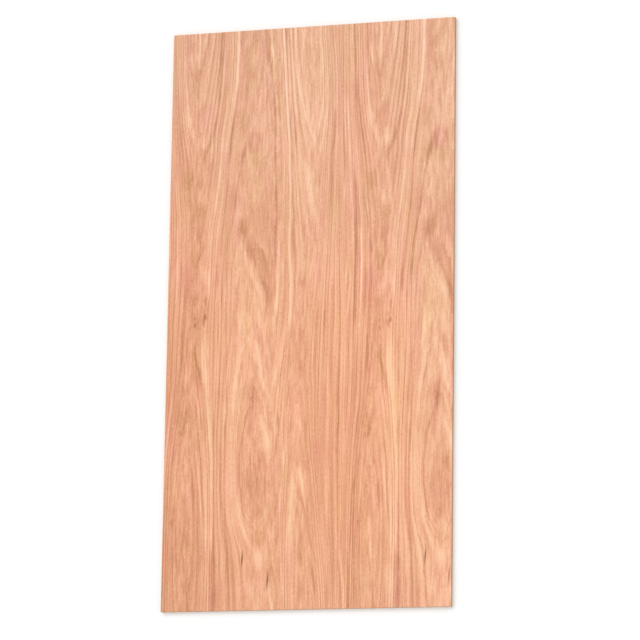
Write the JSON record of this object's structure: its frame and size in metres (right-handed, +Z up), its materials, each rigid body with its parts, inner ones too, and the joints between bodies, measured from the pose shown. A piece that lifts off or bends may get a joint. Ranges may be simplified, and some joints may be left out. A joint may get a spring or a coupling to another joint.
{
  "type": "plywood sheet",
  "caption": "Full sheet of hardwood-faced plywood, 4 x 8 ft and nominally 3/4 in thick, with rotary-cut red oak grain on its face, sawn square edges and eased corners.",
  "frame": {"origin": "middle of the back face, which lies on the floor", "axes": "+Y along the face grain and the sheet's length, +X across the grain, +Z up out of the face veneer"},
  "size_m": [1.2192, 2.4384, 0.0183],
  "materials": {
    "plywood": "sanded, unfinished"
  },
  "bodies": {
    "root": {"plywood_sheet": "plywood"}
  },
  "joints": []
}
